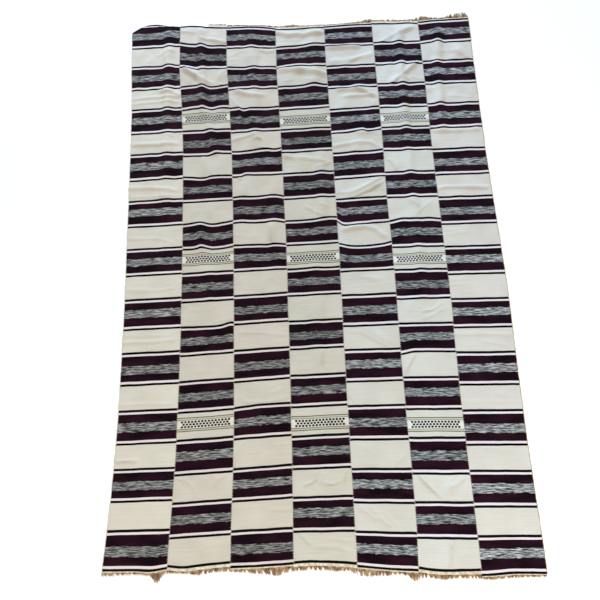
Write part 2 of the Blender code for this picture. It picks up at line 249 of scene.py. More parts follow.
# Where the creases were seen from, and how high the flat cloth lies, in the tables' millimetres
CAMERA_PLACE = (-18.5, -786.7, 2080.3)
REST_HEIGHT = 2.6
CREASE_ROWS = {
    1: (
        (2.6, 8, 13, ((-606, 926), (-566, 956), (-528, 952))),
        (2.0, 8, 8, ((-574, 935), (-566, 898))),
        (6.4, 10, 21, ((-600, 764), (-540, 762), (-494, 732))),
        (3.2, 8, 12, ((-700, 724), (-605, 730), (-510, 727))),
        (2.8, 7, 10, ((-694, 699), (-628, 705), (-569, 710), (-500, 703))),
        (4.6, 11, 17, ((-700, 515), (-600, 513), (-500, 514))),
        (2.4, 7, 11, ((-556, 560), (-522, 540))),
        (2.0, 7, 10, ((-560, 542), (-520, 516))),
        (3.8, 9, 14, ((-698, 322), (-604, 322), (-500, 307))),
        (2.0, 7, 11, ((-690, 284), (-500, 281))),
        (2.0, 7, 11, ((-690, 109), (-560, 107), (-500, 84))),
        (1.6, 7, 10, ((-690, -92), (-560, -99), (-490, -88))),
        (1.6, 5, 8, ((-680, -266), (-500, -268))),
        (2.6, 7, 10, ((-690, -291), (-560, -290), (-486, -284))),
        (1.8, 5, 9, ((-690, -511), (-486, -511))),
        (3.6, 6, 8, ((-684, -699), (-600, -700))),
        (1.6, 4, 7, ((-532, -652), (-512, -666))),
    ),
    2: (
        (3.6, 8, 8, ((-425, 1066), (-428, 996))),
        (5.2, 11, 17, ((-434, 1014), (-380, 1003), (-312, 986))),
        (2.8, 8, 13, ((-508, 1047), (-440, 1040))),
        (7.2, 10, 27, ((-508, 884), (-463, 849), (-427, 824), (-398, 806), (-364, 786))),
        (2.6, 5, 9, ((-352, 808), (-328, 848))),
        (3.2, 5, 8, ((-354, 787), (-330, 775))),
        (3.0, 4, 7, ((-342, 777), (-320, 788))),
        (4.4, 10, 10, ((-404, 452), (-402, 356))),
        (2.8, 9, 9, ((-372, 252), (-370, 178))),
        (1.0, 4, 5, ((-385, -148), (-383, -228))),
        (1.0, 4, 5, ((-352, -148), (-351, -228))),
        (1.8, 5, 8, ((-342, -226), (-298, -212))),
        (1.4, 4, 7, ((-424, -404), (-350, -402))),
        (3.2, 6, 7, ((-470, -761), (-434, -772), (-413, -793), (-407, -824))),
        (1.4, 5, 5, ((-390, -758), (-392, -792))),
        (3.0, 6, 7, ((-346, -796), (-333, -768), (-302, -756))),
        (1.2, 8, 8, ((-375, -950), (-372, -1018))),
    ),
    3: (
        (1.8, 5, 9, ((-314, 906), (-256, 939))),
        (1.8, 5, 8, ((-308, 889), (-280, 899))),
        (3.4, 9, 14, ((-186, 950), (-150, 931), (-112, 936))),
        (5.6, 12, 22, ((-292, 750), (-262, 746), (-205, 728), (-150, 726))),
        (3.4, 7, 10, ((-304, 726), (-268, 674))),
        (4.2, 7, 7, ((-266, 682), (-254, 598))),
        (4.2, 8, 16, ((-300, 518), (-226, 538), (-186, 548))),
        (2.8, 8, 12, ((-200, 540), (-172, 518))),
        (3.4, 8, 12, ((-212, 522), (-190, 530), (-168, 518))),
        (3.6, 6, 8, ((-190, 489), (-160, 480), (-134, 478))),
        (5.0, 6, 9, ((-272, 362), (-250, 340))),
        (2.8, 4, 7, ((-262, 330), (-232, 322))),
        (4.6, 8, 8, ((-146, 156), (-144, 82))),
        (1.8, 5, 9, ((-218, 109), (-188, 103))),
        (1.8, 6, 10, ((-148, -58), (-104, -92))),
        (2.2, 5, 8, ((-274, -266), (-190, -268), (-92, -281))),
        (1.8, 4, 7, ((-156, -463), (-128, -455))),
        (2.0, 5, 8, ((-154, -486), (-108, -470))),
        (2.2, 5, 9, ((-260, -494), (-232, -517), (-160, -514), (-90, -501))),
        (1.8, 5, 9, ((-278, -694), (-260, -664), (-226, -634))),
        (1.0, 4, 5, ((-168, -640), (-166, -704))),
        (2.0, 4, 6, ((-152, -869), (-88, -868))),
    ),
    4: (
        (8.4, 18, 24, ((-116, 1042), (-60, 1016), (-14, 1022), (4, 1015), (45, 1022), (98, 1024))),
        (3.0, 14, 23, ((-112, 956), (92, 962))),
        (9.0, 12, 30, ((-118, 848), (-60, 848), (0, 844), (40, 838), (102, 818))),
        (2.2, 4, 7, ((-98, 781), (-32, 793), (92, 781))),
        (2.0, 4, 7, ((18, 777), (95, 769))),
        (3.6, 11, 18, ((-96, 440), (12, 427), (100, 404))),
        (2.4, 5, 9, ((28, 384), (92, 401))),
        (3.0, 6, 10, ((-14, 223), (64, 178))),
        (2.4, 7, 10, ((38, 236), (84, 213))),
        (3.2, 13, 13, ((36, -142), (48, -232))),
        (4.8, 9, 9, ((30, -338), (32, -394))),
        (2.6, 6, 7, ((36, -398), (60, -404))),
        (4.0, 5, 6, ((-6, -752), (-2, -776), (-20, -786), (-48, -797))),
        (3.2, 6, 6, ((17, -752), (18, -768), (8, -792))),
        (3.4, 5, 7, ((18, -788), (50, -793), (82, -782))),
        (4.6, 5, 6, ((98, -750), (88, -790))),
        (1.8, 5, 9, ((-12, -798), (16, -832))),
        (3.8, 8, 9, ((-62, -942), (-26, -982))),
        (1.8, 6, 10, ((28, -960), (108, -972))),
        (2.6, 8, 12, ((-12, -984), (56, -986), (110, -1005))),
    ),
    5: (
        (8.5, 12, 25, ((90, 948), (170, 950), (252, 947))),
        (4.2, 16, 25, ((98, 870), (200, 880), (296, 906))),
        (2.6, 7, 11, ((192, 870), (248, 894))),
        (4.6, 5, 11, ((220, 744), (262, 723), (296, 694))),
        (8.0, 8, 26, ((122, 742), (160, 744), (236, 742))),
        (4.8, 12, 14, ((150, 702), (215, 706), (294, 708))),
        (4.4, 10, 16, ((98, 475), (200, 493), (256, 491), (298, 461))),
        (4.4, 14, 23, ((190, 538), (292, 540))),
        (2.4, 7, 10, ((106, 272), (182, 278))),
        (3.4, 8, 12, ((178, 277), (304, 342))),
        (3.8, 5, 9, ((164, 251), (240, 286), (304, 322))),
        (6.6, 12, 20, ((120, 118), (165, 130), (215, 133), (252, 120), (300, 76))),
        (2.6, 11, 17, ((188, -68), (264, -84))),
        (1.4, 4, 6, ((148, -104), (232, -106))),
        (3.2, 5, 9, ((162, -270), (268, -337))),
        (2.4, 6, 10, ((122, -272), (162, -279))),
        (2.2, 6, 10, ((116, -494), (142, -527))),
        (2.2, 5, 8, ((260, -738), (304, -700))),
        (1.4, 7, 11, ((146, -668), (186, -692))),
        (3.2, 8, 14, ((130, -862), (200, -912))),
        (3.6, 7, 15, ((158, -856), (200, -896), (240, -936))),
        (2.0, 8, 12, ((204, -880), (266, -938))),
    ),
    6: (
        (3.2, 12, 16, ((318, 956), (392, 1003), (474, 1032))),
        (2.4, 6, 10, ((356, 1025), (386, 1031))),
        (3.4, 6, 9, ((346, 748), (398, 797), (476, 862))),
        (2.2, 4, 7, ((300, 792), (354, 790))),
        (2.0, 4, 7, ((308, 775), (364, 772))),
        (3.0, 8, 12, ((390, 790), (442, 773))),
        (3.2, 5, 8, ((436, 788), (488, 769))),
        (4.8, 8, 9, ((312, 410), (328, 406), (354, 362))),
        (3.0, 9, 14, ((384, 238), (428, 204))),
        (1.8, 10, 12, ((402, 173), (474, 228))),
        (3.8, 6, 9, ((398, -208), (438, -203), (458, -190), (464, -178))),
        (2.6, 9, 12, ((394, -237), (432, -224), (475, -199))),
        (4.6, 7, 9, ((316, -432), (334, -400), (358, -364))),
        (5.4, 6, 8, ((334, -768), (361, -800), (382, -821), (404, -846))),
        (2.4, 8, 10, ((430, -815), (470, -800), (492, -783))),
        (2.4, 4, 6, ((466, -791), (490, -782))),
        (2.8, 7, 7, ((382, -774), (396, -818))),
        (5.2, 6, 8, ((431, -962), (424, -1010), (412, -1060))),
    ),
    7: (
        (2.0, 9, 14, ((568, 913), (640, 903), (684, 864))),
        (1.8, 7, 10, ((494, 722), (560, 727), (644, 739))),
        (2.2, 6, 10, ((578, 689), (678, 677))),
        (4.4, 14, 16, ((498, 530), (600, 528), (696, 531))),
        (5.0, 12, 14, ((498, 276), (530, 284), (600, 282), (698, 276))),
        (2.4, 4, 7, ((503, 266), (534, 257))),
        (1.4, 4, 6, ((503, 105), (562, 100))),
        (1.4, 4, 7, ((503, 85), (592, 92))),
        (1.4, 4, 6, ((503, -92), (562, -96))),
        (1.4, 4, 6, ((503, -112), (584, -110))),
        (2.6, 6, 10, ((500, -297), (600, -298), (704, -305))),
        (1.8, 6, 10, ((598, -324), (694, -346))),
        (1.6, 4, 7, ((503, -536), (702, -540))),
        (1.4, 8, 12, ((556, -690), (644, -701))),
    ),
}
CREASES = {strip: [Crease(*row) for row in rows] for strip, rows in CREASE_ROWS.items()}
# A crease dies away over this many widths at each end, from a blunt start
CREASE_FADE = 1.6
CREASE_START = 0.25
# The press lines: how many, between which ends, how crowded towards the far one, and so on
PRESS_LINES = 110
PRESS_FAR_Y = 1040
PRESS_RUN = 2060
PRESS_CROWDING = 1.15
PRESS_SIDE = 700
PRESS_LENGTHS = (50, 150)
PRESS_LEAN = 0.3
PRESS_ACROSS_SHARE = 0.4


def drawn_back(points, height):
    """Where the crest's points lie, from where they are seen over the near end."""
    points = np.array(points, float)
    raised = REST_HEIGHT + height + main_fold_height(points[:, 0], points[:, 1])
    return points - (points - CAMERA_PLACE[:2]) * raised[:, None] / CAMERA_PLACE[2]


def ridge(points, crease, x, y):
    """Height of one crease, a ridge along its chain of points that fades out at both ends."""
    runs = np.diff(points, axis=0)
    lengths = np.hypot(runs[:, 0], runs[:, 1])
    starts = np.concatenate([[0.0], np.cumsum(lengths)])
    nearest = np.full(x.shape, np.inf)
    along = np.zeros(x.shape)
    width = np.full(x.shape, float(crease.left))
    for start, run, length, before in zip(points, runs, lengths, starts):
        off_x = x - start[0]
        off_y = y - start[1]
        part = np.clip((off_x * run[0] + off_y * run[1]) / length**2, 0.0, 1.0)
        away = np.hypot(off_x - part * run[0], off_y - part * run[1])
        on_left = run[0] * off_y - run[1] * off_x > 0
        along = np.where(away < nearest, before + part * length, along)
        width = np.where(away < nearest, np.where(on_left, crease.left, crease.right), width)
        nearest = np.minimum(nearest, away)
    fade = min(CREASE_FADE * crease.right, 0.5 * starts[-1])
    ends = ease(CREASE_START + along / fade) * ease(CREASE_START + (starts[-1] - along) / fade)
    return crease.height * ends * (0.5 + 0.5 * np.cos(np.pi * np.minimum(nearest / width, 1.0)))


def add_ridge(total, points, crease, x, y):
    """Add one crease, worked out only near it."""
    reach = max(crease.left, crease.right)
    low = points.min(axis=0) - reach
    high = points.max(axis=0) + reach
    near = (x > low[0]) & (x < high[0]) & (y > low[1]) & (y < high[1])
    if near.any():
        total[near] += ridge(points, crease, x[near], y[near])


def crease_height(strip, x, y):
    """All the creases of a strip together."""
    total = np.zeros(x.shape)
    for crease in CREASES[strip]:
        add_ridge(total, drawn_back(crease.points, crease.height), crease, x, y)
    return total


def press_lines(x, y, seed=11):
    """Faint short lines that the folded cloth was pressed into, most of them lengthwise."""
    rng = np.random.default_rng(seed)
    total = np.zeros(x.shape)
    for _ in range(PRESS_LINES):
        top = PRESS_FAR_Y - PRESS_RUN * rng.random() ** PRESS_CROWDING
        side = rng.uniform(-PRESS_SIDE, PRESS_SIDE)
        length = rng.uniform(*PRESS_LENGTHS)
        turn = rng.normal(0.0, PRESS_LEAN) + (math.pi / 2 if rng.random() < PRESS_ACROSS_SHARE else 0.0)
        ends = ((side, top), (side + length * math.sin(turn), top - length * math.cos(turn)))
        line = Crease(rng.uniform(0.4, 1.3), rng.uniform(5, 9), rng.uniform(7, 14), ends)
        add_ridge(total, np.array(ends), line, x, y)
    return total


print("creases:", sum(len(creases) for creases in CREASES.values()))

# %% [markdown]
# ## How high the cloth lies
#
# The height at a place is the tallest of the main folds there, with the creases and the
# slow waviness on top. Two more things show on the real cloth. The sewing thread draws each
# seam in, so the cloth puckers beside it. And the last few centimetres before each cut end
# lie flat, except where an end is turned under: there the cloth lies double.

# %% The height of the cloth
CLOTH_THICKNESS = 1.5
LIE_HEIGHT = 0.4
SMALL_RISE = 0.8
# Where the far end is turned under: the share of each strip, how far back, and how it rises
TURNED_SHARES = {1: 1.0, 2: 0.45}
TURNED_DEPTH = 38.0
TURNED_SLOPE = 14.0
TURNED_BLEND = 0.08
TURNED_RISE = 2.1
PUCKER_HEIGHT = 0.9
PUCKER_LENGTH = 23.0
PUCKER_REACH = 16.0
SELVEDGE_DIP = 0.35
SELVEDGE_REACH = 3.0
FLAT_END = 30.0


def seam_pucker(edge, from_edge, y):
    """Small ripples beside a seam, where its thread draws the cloth in."""
    # Each seam's ripples start elsewhere, and they crowd and swell as they go along
    ripple = np.sin(2 * math.pi * y / PUCKER_LENGTH + 1.7 * edge + 1.3 * np.sin(y / 61.0 + edge))
    swell = 0.6 + 0.4 * np.sin(y / 87.0 + 2.1 * edge)
    return PUCKER_HEIGHT * (0.5 + 0.5 * ripple) * swell * np.exp(-from_edge / PUCKER_REACH)


def cloth_height(strip, share, x, y):
    """Height of the upper face of the cloth over the floor, in millimetres."""
    folds = main_fold_height(x, y)
    small = unevenness(x, y) + SMALL_RISE + crease_height(strip, x, y) + press_lines(x, y)
    from_left = x - edge_x(strip - 1, y)
    from_right = edge_x(strip, y) - x
    if strip > 1:
        small = small + seam_pucker(strip - 1, from_left, y)
    if strip < 7:
        small = small + seam_pucker(strip, from_right, y)
    to_far = end_y(strip, "far", share) - y
    to_end = np.minimum(to_far, y - end_y(strip, "near", share))
    lift = (folds + np.maximum(small, 0.0)) * ease(to_end / FLAT_END)
    turned = ease((TURNED_DEPTH - to_far) / TURNED_SLOPE)
    turned = turned * ease((TURNED_SHARES.get(strip, 0.0) - share) / TURNED_BLEND + 1.0)
    selvedge = np.exp(-np.minimum(from_left, from_right) / SELVEDGE_REACH)
    return LIE_HEIGHT + CLOTH_THICKNESS + lift + TURNED_RISE * turned - SELVEDGE_DIP * selvedge


mid_y = np.zeros(1)
print("top of the cloth at the middle of strip 4, in mm over the floor:",
      cloth_height(4, mid_y + 0.5, across(4, 0.5, mid_y), mid_y).round(1))

# %% [markdown]
# ## The woven repeat
#
# The weaver counts picks, so the repeat is even on the loom: a dark block of 110 mm, then a
# plain one of 91 mm. In the finished cloth it has stretched and shrunk from place to place.
# So the pattern is drawn once, in the loom's own millimetres, and each strip's UV map says
# how far along the loom every point was woven. A short table holds the place of a few of
# the thin black lines on each strip, which is where a pattern maker would pin the cloth.
# They too were read off the view from the near end, and are drawn back like the creases.

# %% From the cloth to the loom
DARK_BLOCK = 110.0
PLAIN_BLOCK = 91.0
REPEAT = DARK_BLOCK + PLAIN_BLOCK
LOOM_WIDTH = 196.0
LINE_WIDTH = 8.0
END_MARGIN = 0.3

# The y at which every black line is seen half way across its strip, from the far end on
LINE_Y = {
    1: (968, 875, 764, 671, 560, 467, 353, 265, 158, 66,
        -38, -132, -243, -330, -443, -534, -644, -728, -829, -921),
    2: (970, 858, 772, 664, 565, 455, 355, 254, 162, 62,
        -35, -145, -239, -342, -435, -541, -635, -747, -837, -943),
    3: (950, 855, 750, 661, 552, 467, 357, 267, 160, 66,
        -33, -127, -233, -330, -440, -527, -634, -733, -835, -929),
    4: (952, 850, 758, 649, 557, 455, 362, 254, 165, 64,
        -32, -134, -231, -332, -427, -535, -635, -741, -833, -938),
    5: (945, 847, 740, 643, 537, 446, 333, 246, 141, 54,
        -47, -140, -255, -343, -455, -540, -653, -750, -856, -948),
    6: (954, 845, 752, 641, 550, 446, 352, 244, 151, 40,
        -50, -161, -254, -358, -448, -557, -654, -770, -861, -970),
    7: (946, 855, 744, 652, 540, 445, 334, 238, 127, 35,
        -73, -169, -274, -366, -479, -568, -682, -767, -879, -969),
}
# How much a line rises from the strip's left edge to its right one, at five of the lines
RISE_LINES = (1, 5, 9, 17, 20)
LINE_RISE = {
    1: (4, 6, 6, 3, 0),
    2: (-10, 5, 6, 9, 8),
    3: (-8, 5, 5, 10, 6),
    4: (12, 6, 5, 4, -2),
    5: (0, 10, 5, -3, -10),
    6: (0, 0, 0, -5, -7),
    7: (4, 2, 0, -5, -4),
}
# Lines that were drawn askew: how far off they stand at places across the strip's width
Kink = namedtuple("Kink", "strip line shares offsets")
KINKS = (
    Kink(1, 0, (0.0, 0.35, 0.6, 1.0), (0, 0, 9, 12)),
    Kink(2, 1, (0.0, 0.25, 0.45, 0.6, 1.0), (12, 6, 3, 0, 0)),
    Kink(2, 2, (0.0, 0.25, 0.46, 0.62, 1.0), (5, -2, -8, -2, -2)),
    Kink(2, 3, (0.0, 0.4, 0.6, 0.8, 1.0), (-2, 3, -6, -2, 5)),
    Kink(2, 4, (0.0, 0.4, 0.6, 0.8, 1.0), (-2, 3, -5, 1, 0)),
    Kink(2, 6, (0.0, 0.5, 0.7, 0.85, 1.0), (0, -4, 4, 2, -1)),
    Kink(2, 7, (0.0, 0.42, 0.58, 1.0), (6, -1, 6, 2)),
    Kink(2, 9, (0.0, 0.33, 0.58, 0.8, 1.0), (0, 5, -5, -2, 4)),
    Kink(2, 10, (0.0, 0.16, 0.27, 0.37, 0.47, 0.58, 0.8, 1.0), (0, -2, -1, 4, 0, -6, -5, 0)),
    Kink(2, 13, (0.0, 0.5, 0.75, 0.92, 1.0), (0, -3, -2, 6, 5)),
    Kink(3, 4, (0.0, 0.18, 0.26, 0.36, 0.5, 0.65, 1.0), (2, 4, -2, -1, -6, -3, 1)),
    Kink(3, 6, (0.0, 0.25, 0.7, 0.9, 1.0), (0, -2, 6, 0, 4)),
    Kink(3, 7, (0.0, 0.16, 0.27, 0.45, 0.7, 1.0), (-2, -1, 6, 3, 0, 1)),
    Kink(3, 8, (0.0, 0.18, 0.4, 0.62, 0.85, 1.0), (1, 3, 0, 2, 2, -5)),
    Kink(3, 9, (0.0, 0.15, 0.3, 0.6, 0.8, 1.0), (2, 4, 0, -2, 1, -6)),
    Kink(3, 10, (0.0, 0.4, 0.62, 0.78, 1.0), (5, 3, 0, 3, -3)),
    Kink(3, 16, (0.0, 0.4, 0.7, 1.0), (-4, 2, 2, 0)),
    Kink(4, 2, (0.0, 0.25, 0.55, 0.7, 1.0), (0, 5, 2, -5, -3)),
    Kink(4, 3, (0.0, 0.3, 0.7, 1.0), (0, 0, 3, -3)),
    Kink(4, 9, (0.0, 0.45, 0.85, 1.0), (-2, -3, 4, 2)),
    Kink(5, 5, (0.0, 0.3, 0.62, 0.72, 1.0), (-2, -1, 4, -4, 2)),
    Kink(5, 9, (0.0, 0.12, 0.4, 1.0), (15, -3, -2, 2)),
    Kink(5, 10, (0.0, 0.15, 0.4, 0.8, 1.0), (9, 1, -4, -1, 7)),
    Kink(6, 9, (0.0, 0.25, 0.5, 0.75, 1.0), (-5, 4, 1, 4, -2)),
    Kink(6, 14, (0.0, 0.1, 0.25, 1.0), (-7, -3, 2, 0)),
    Kink(7, 1, (0.0, 0.15, 0.3, 0.5, 1.0), (-4, 0, 4, -1, 0)),
)
LAST_LINE = 21
# The turned end of the first strip: what shows at these depths below its far line's middle
TURNED_LINE_Y = 1078.0
TURNED_DEPTHS = (0.0, 5.0, 7.0)
TURNED_WOVEN = (0.0, 4.2, 11.4)
TURNED_SPREAD = 80.0


def woven_length(strip, line):
    """Millimetres woven on the loom from the repeat's start to a black line."""
    dark = (line + 1) // 2 if strip % 2 else line // 2
    plain = line - dark
    return dark * DARK_BLOCK + plain * PLAIN_BLOCK + (0.0 if strip % 2 else DARK_BLOCK)


def loom_position(strip, share, y):
    """How far along the loom a point of the strip was woven."""
    far = end_y(strip, "far", share) - LINE_WIDTH / 2 - END_MARGIN
    if strip == 1:
        far = np.full_like(y, TURNED_LINE_Y)
    near = end_y(strip, "near", share) + LINE_WIDTH / 2 + END_MARGIN
    places = [far]
    for line, seen in enumerate(LINE_Y[strip], 1):
        rise = smooth_between(RISE_LINES, LINE_RISE[strip], line)
        middle = seen - (seen - CAMERA_PLACE[1]) * REST_HEIGHT / CAMERA_PLACE[2]
        places.append(middle + rise * (share - 0.5))
    places.append(near)
    for kink in KINKS:
        if kink.strip == strip:
            places[kink.line] = places[kink.line] + smooth_between(kink.shares, kink.offsets, share)
    position = woven_length(strip, 0) - np.maximum(y - far, 0.0)
    for line in range(LAST_LINE):
        part = np.clip((places[line] - y) / (places[line] - places[line + 1]), 0.0, 1.0)
        position = position + part * (woven_length(strip, line + 1) - woven_length(strip, line))
    if strip == 1:
        # Its rounded edge hides most of the white line there
        depth = far - y
        hidden = np.interp(depth, TURNED_DEPTHS, TURNED_WOVEN)
        position = np.where((depth > 0) & (depth < TURNED_DEPTHS[-1]), hidden, position)
        left_over = (TURNED_WOVEN[-1] - TURNED_DEPTHS[-1]) * ease(1 - depth / TURNED_SPREAD)
        position = position + np.where(depth >= TURNED_DEPTHS[-1], left_over, 0.0)
    return position + np.maximum(near - y, 0.0)


print("woven length of strips 1 and 2, in mm:",
      [woven_length(strip, LAST_LINE) - woven_length(strip, 0) for strip in (1, 2)])

# %% [markdown]
# ## Laying a strip
#
# A strip is a flat sheet, so it starts as a grid, which is what a woven cloth is. The grid
# is laid between its two seams and lifted by the folds, and Solidify gives it the thickness
# of the cloth. Its columns stand closer at the edges, where the selvedge turns down.

# %% The seven strips
STRIP_COLUMNS = 42
STRIP_ROWS = 420
SELVEDGE_COLUMNS = (0.0, 0.9, 2.2, 4.2)


def column_shares():
    """Shares of the width at the grid's columns, closer together at the selvedges."""
    left = np.array(SELVEDGE_COLUMNS) / LOOM_WIDTH
    middle = np.linspace(left[-1], 1 - left[-1], STRIP_COLUMNS - 2 * len(left) + 3)[1:-1]
    return np.concatenate([left, middle, 1 - left[::-1]])


def flat_cloth(name, columns, rows):
    """A flat grid of cloth, with how far each corner is across and along it, from 0 to 1."""
    bpy.ops.object.select_all(action="DESELECT")
    bpy.ops.mesh.primitive_grid_add(x_subdivisions=columns, y_subdivisions=rows, size=1)
    cloth = bpy.context.object
    cloth.name = cloth.data.name = name
    flat = np.empty(3 * len(cloth.data.vertices), dtype=np.float32)
    cloth.data.vertices.foreach_get("co", flat)
    flat = flat.reshape(-1, 3).astype(float) + 0.5
    return cloth, flat[:, 0], flat[:, 1]


def lay_down(cloth, x, y, z):
    """Put the corners of a flat cloth in their places, and give it its thickness under them."""
    cloth.data.vertices.foreach_set("co", to_world(x, y, z).astype(np.float32).ravel())
    thickness = cloth.modifiers.new("cloth_thickness", "SOLIDIFY")
    thickness.thickness = CLOTH_THICKNESS * MM
    thickness.offset = -1.0
    bpy.ops.object.modifier_apply(modifier=thickness.name)
    bpy.ops.object.shade_smooth_by_angle(angle=math.radians(50))


def lay_strip(strip):
    """One strip between its seams, with a UV map that says where each point was woven."""
    cloth, over, up = flat_cloth(f"woven_strip_{strip}", STRIP_COLUMNS, STRIP_ROWS)
    share = column_shares()[np.rint(over * STRIP_COLUMNS).astype(int)]
    near = end_y(strip, "near", share)
    far = end_y(strip, "far", share)
    y = near + (far - near) * up
    x = across(strip, share, y)

    mesh = cloth.data
    corner_vertex = np.empty(len(mesh.loops), dtype=np.int32)
    mesh.loops.foreach_get("vertex_index", corner_vertex)
    loom = np.stack([strip + share * LOOM_WIDTH * MM, loom_position(strip, share, y) * MM], axis=-1)
    weave_map = mesh.uv_layers[0] if mesh.uv_layers else mesh.uv_layers.new()
    weave_map.name = "weave_map"
    weave_map.data.foreach_set("uv", loom[corner_vertex].astype(np.float32).ravel())
    lay_down(cloth, x, y, cloth_height(strip, share, x, y))
    return cloth


strips = {k: lay_strip(k) for k in range(1, 8)}
print("corners of cloth in one strip:", len(strips[1].data.vertices))

# %% [markdown]
# ## Colours and nodes
#
# Colours are written as the hex values that a colour chart gives, and one function turns
# them into the linear values that the renderer works in. Another adds a node to a material
# with its settings and its inputs, which may be values or other nodes, and three short ones
# stand for the nodes that are needed most: arithmetic, ranges and mixed colours.

# %% Helpers for materials
def linear(hex_colour):
    """An sRGB hex colour as linear red, green, blue and alpha."""
    channels = [int(hex_colour[k:k + 2], 16) / 255 for k in (1, 3, 5)]
    return (*(c / 12.92 if c <= 0.04045 else ((c + 0.055) / 1.055) ** 2.4 for c in channels), 1.0)


def new_material(name):
    """A new material, with its node tree and its shader."""
    material = bpy.data.materials.new(name)
    material.use_nodes = True
    return material, material.node_tree, material.node_tree.nodes["Principled BSDF"]


def add_node(tree, kind, inputs=None, **settings):
    """Add a node, make its settings, and set or link its inputs by name or number."""
    node = tree.nodes.new(kind)
    for name, value in settings.items():
        setattr(node, name, value)
    for where, value in (inputs or {}).items():
        if isinstance(value, bpy.types.Node):
            value = value.outputs[0]
        if isinstance(value, bpy.types.NodeSocket):
            tree.links.new(value, node.inputs[where])
        else:
            node.inputs[where].default_value = value
    return node


def calculate(tree, operation, *values):
    """One step of arithmetic on values and nodes."""
    return add_node(tree, "ShaderNodeMath", dict(enumerate(values)), operation=operation)


def map_range(tree, value, old, new):
    """Turn an old range of values, from least to most, into a new one."""
    return add_node(tree, "ShaderNodeMapRange", {0: value, 1: old[0], 2: old[1], 3: new[0], 4: new[1]})


def mix_colours(tree, share, under, over, blend_type="MIX"):
    """Lay a share of one colour over another, or tint with it, and give the mixed colour."""
    colours = {"Factor": share, 6: under, 7: over}
    return add_node(tree, "ShaderNodeMix", colours, data_type="RGBA", blend_type=blend_type).outputs[2]


def set_stops(ramp_node, stops, interpolation="LINEAR"):
    """Give a colour ramp its stops, as pairs of position and colour."""
    ramp = ramp_node.color_ramp
    ramp.interpolation = interpolation
    while len(ramp.elements) < len(stops):
        ramp.elements.new(1.0)
    for element, (position, colour) in zip(ramp.elements, stops):
        element.position = position
        element.color = colour


CREAM = linear("#d1cecb")
PURPLE_BLACK = linear("#12050d")
PURPLE_WORN = linear("#280d1d")
LINE_BLACK = linear("#0b0e0d")
LINE_WHITE = linear("#dfd7e2")
MARL_DARK = linear("#121215")
MARL_GREY = linear("#70747a")
MARL_LIGHT = linear("#c8cbd0")
OLIVE = linear("#464636")
OLIVE_FAINT = linear("#6b6b58")
OLIVE_PALE = linear("#bdbdae")
MOTIF_GROUND = linear("#dad8da")
MOTIF_WHITE = linear("#e2e0e3")
MOTIF_BLACK = linear("#0a0c09")
print("cream as linear red, green and blue:", [round(v, 3) for v in CREAM[:3]])

# %% [markdown]
# ## The banded cotton
#
# The cloth is a plain weave of matt cotton. In the dark blocks the weft is packed so tight
# that it hides the warp, which makes a fine rib from edge to edge. From the black line
# inwards, a dark block has a white line, a purple-black band and, in its middle, a marled
# band: its yarn is black and white twisted together, so it shows as short slanting streaks.
# A chart of bands, each with its width in millimetres, becomes the stops of a colour ramp,
# which reads the place in the repeat.

# %% The chart of bands
Band = namedtuple("Band", "colour width")
DARK_CHART = (
    Band(LINE_BLACK, 4.0), Band(LINE_WHITE, 7.6), Band(PURPLE_BLACK, 86.8),
    Band(LINE_WHITE, 7.6), Band(LINE_BLACK, 8.0),
)
PLAIN_CHART = (Band(CREAM, 83.0), Band(LINE_BLACK, 4.0))
MOTIF_CHART = (
    Band(OLIVE, 2.2), Band(OLIVE_PALE, 5.3), Band(OLIVE_FAINT, 1.9), Band(MOTIF_GROUND, 26.7),
    Band(OLIVE_FAINT, 1.9), Band(OLIVE_PALE, 5.3), Band(OLIVE, 2.2),
)
MOTIF_START = 13.7
# How much later than on strip 2 the weaver started the dotted bands of the other strips
MOTIF_DELAY = {2: 0.0, 4: 11.0, 6: 8.5}
MARL_WIDTH = 30.0
MARL_SHIFT = 9.0
MARL_EDGE = 2.2
# How much darker one marled band may be than the next
MARL_DIM = 0.25


def chart_stops(*charts):
    """Stops for a ramp of flat colours: each band starts where the last one ends."""
    stops = []
    woven = 0.0
    for band in (band for chart in charts for band in chart):
        stops.append((woven / REPEAT, band.colour))
        woven += band.width
    print("chart of", len(stops), "bands,", woven, "mm")
    return stops


# %% [markdown]
# ## Seven strips, each with a tint of painted light
#
# Each strip is tinted with painted light and shade: strips 2 to 4 darker, in painted shade,
# the strips on the right lighter and cooler, in painted cool light, and each strip's marl is
# darker or lighter too. In the material a colour ramp without any blending picks one of the seven by the
# strip's number.

# %% The tint of painted light and shade of each strip
StripLightAndMarl = namedtuple("StripLightAndMarl", "cast marl_dim")
# Each row: the strip's tint of painted light and shade, and how much darker its marl is
STRIP_LIGHT_AND_MARL = {
    1: StripLightAndMarl("#fffcf2", 0.17),
    2: StripLightAndMarl("#f4f0e6", 0.22),
    3: StripLightAndMarl("#f3efe6", 0.20),
    4: StripLightAndMarl("#f0f0e8", 0.27),
    5: StripLightAndMarl("#f5f8f5", 0.14),
    6: StripLightAndMarl("#f9fefe", 0.25),
    7: StripLightAndMarl("#fcffff", 0.01),
}


def by_strip(tree, strip, colours):
    """Choose one of seven colours by the strip's number, on a ramp divided into eighths."""
    chosen = add_node(tree, "ShaderNodeValToRGB", {0: calculate(tree, "MULTIPLY", strip, 1 / 8)})
    set_stops(chosen, [((k - 0.5) / 8, colour) for k, colour in enumerate(colours, 1)], "CONSTANT")
    return chosen


print("yarn lots:", len(STRIP_LIGHT_AND_MARL))

# %% [markdown]
# ## Reading the loom's position in a material
#
# The UV map carries the strip's number plus the place across it, and the place along the
# loom, in metres. A weft thread is never quite straight, so a little noise bends the place
# along the loom before it is read.

# %% Material: banded cotton
WEFT_WANDER = 4.0
MARL_STREAK_LENGTH = 29.0
MARL_STREAK_WIDTH = 2.8
# The real threads are 0.8 mm apart and too fine to show, so they are drawn coarser
WEFT_PITCH = 2.4
WARP_PITCH = 2.8
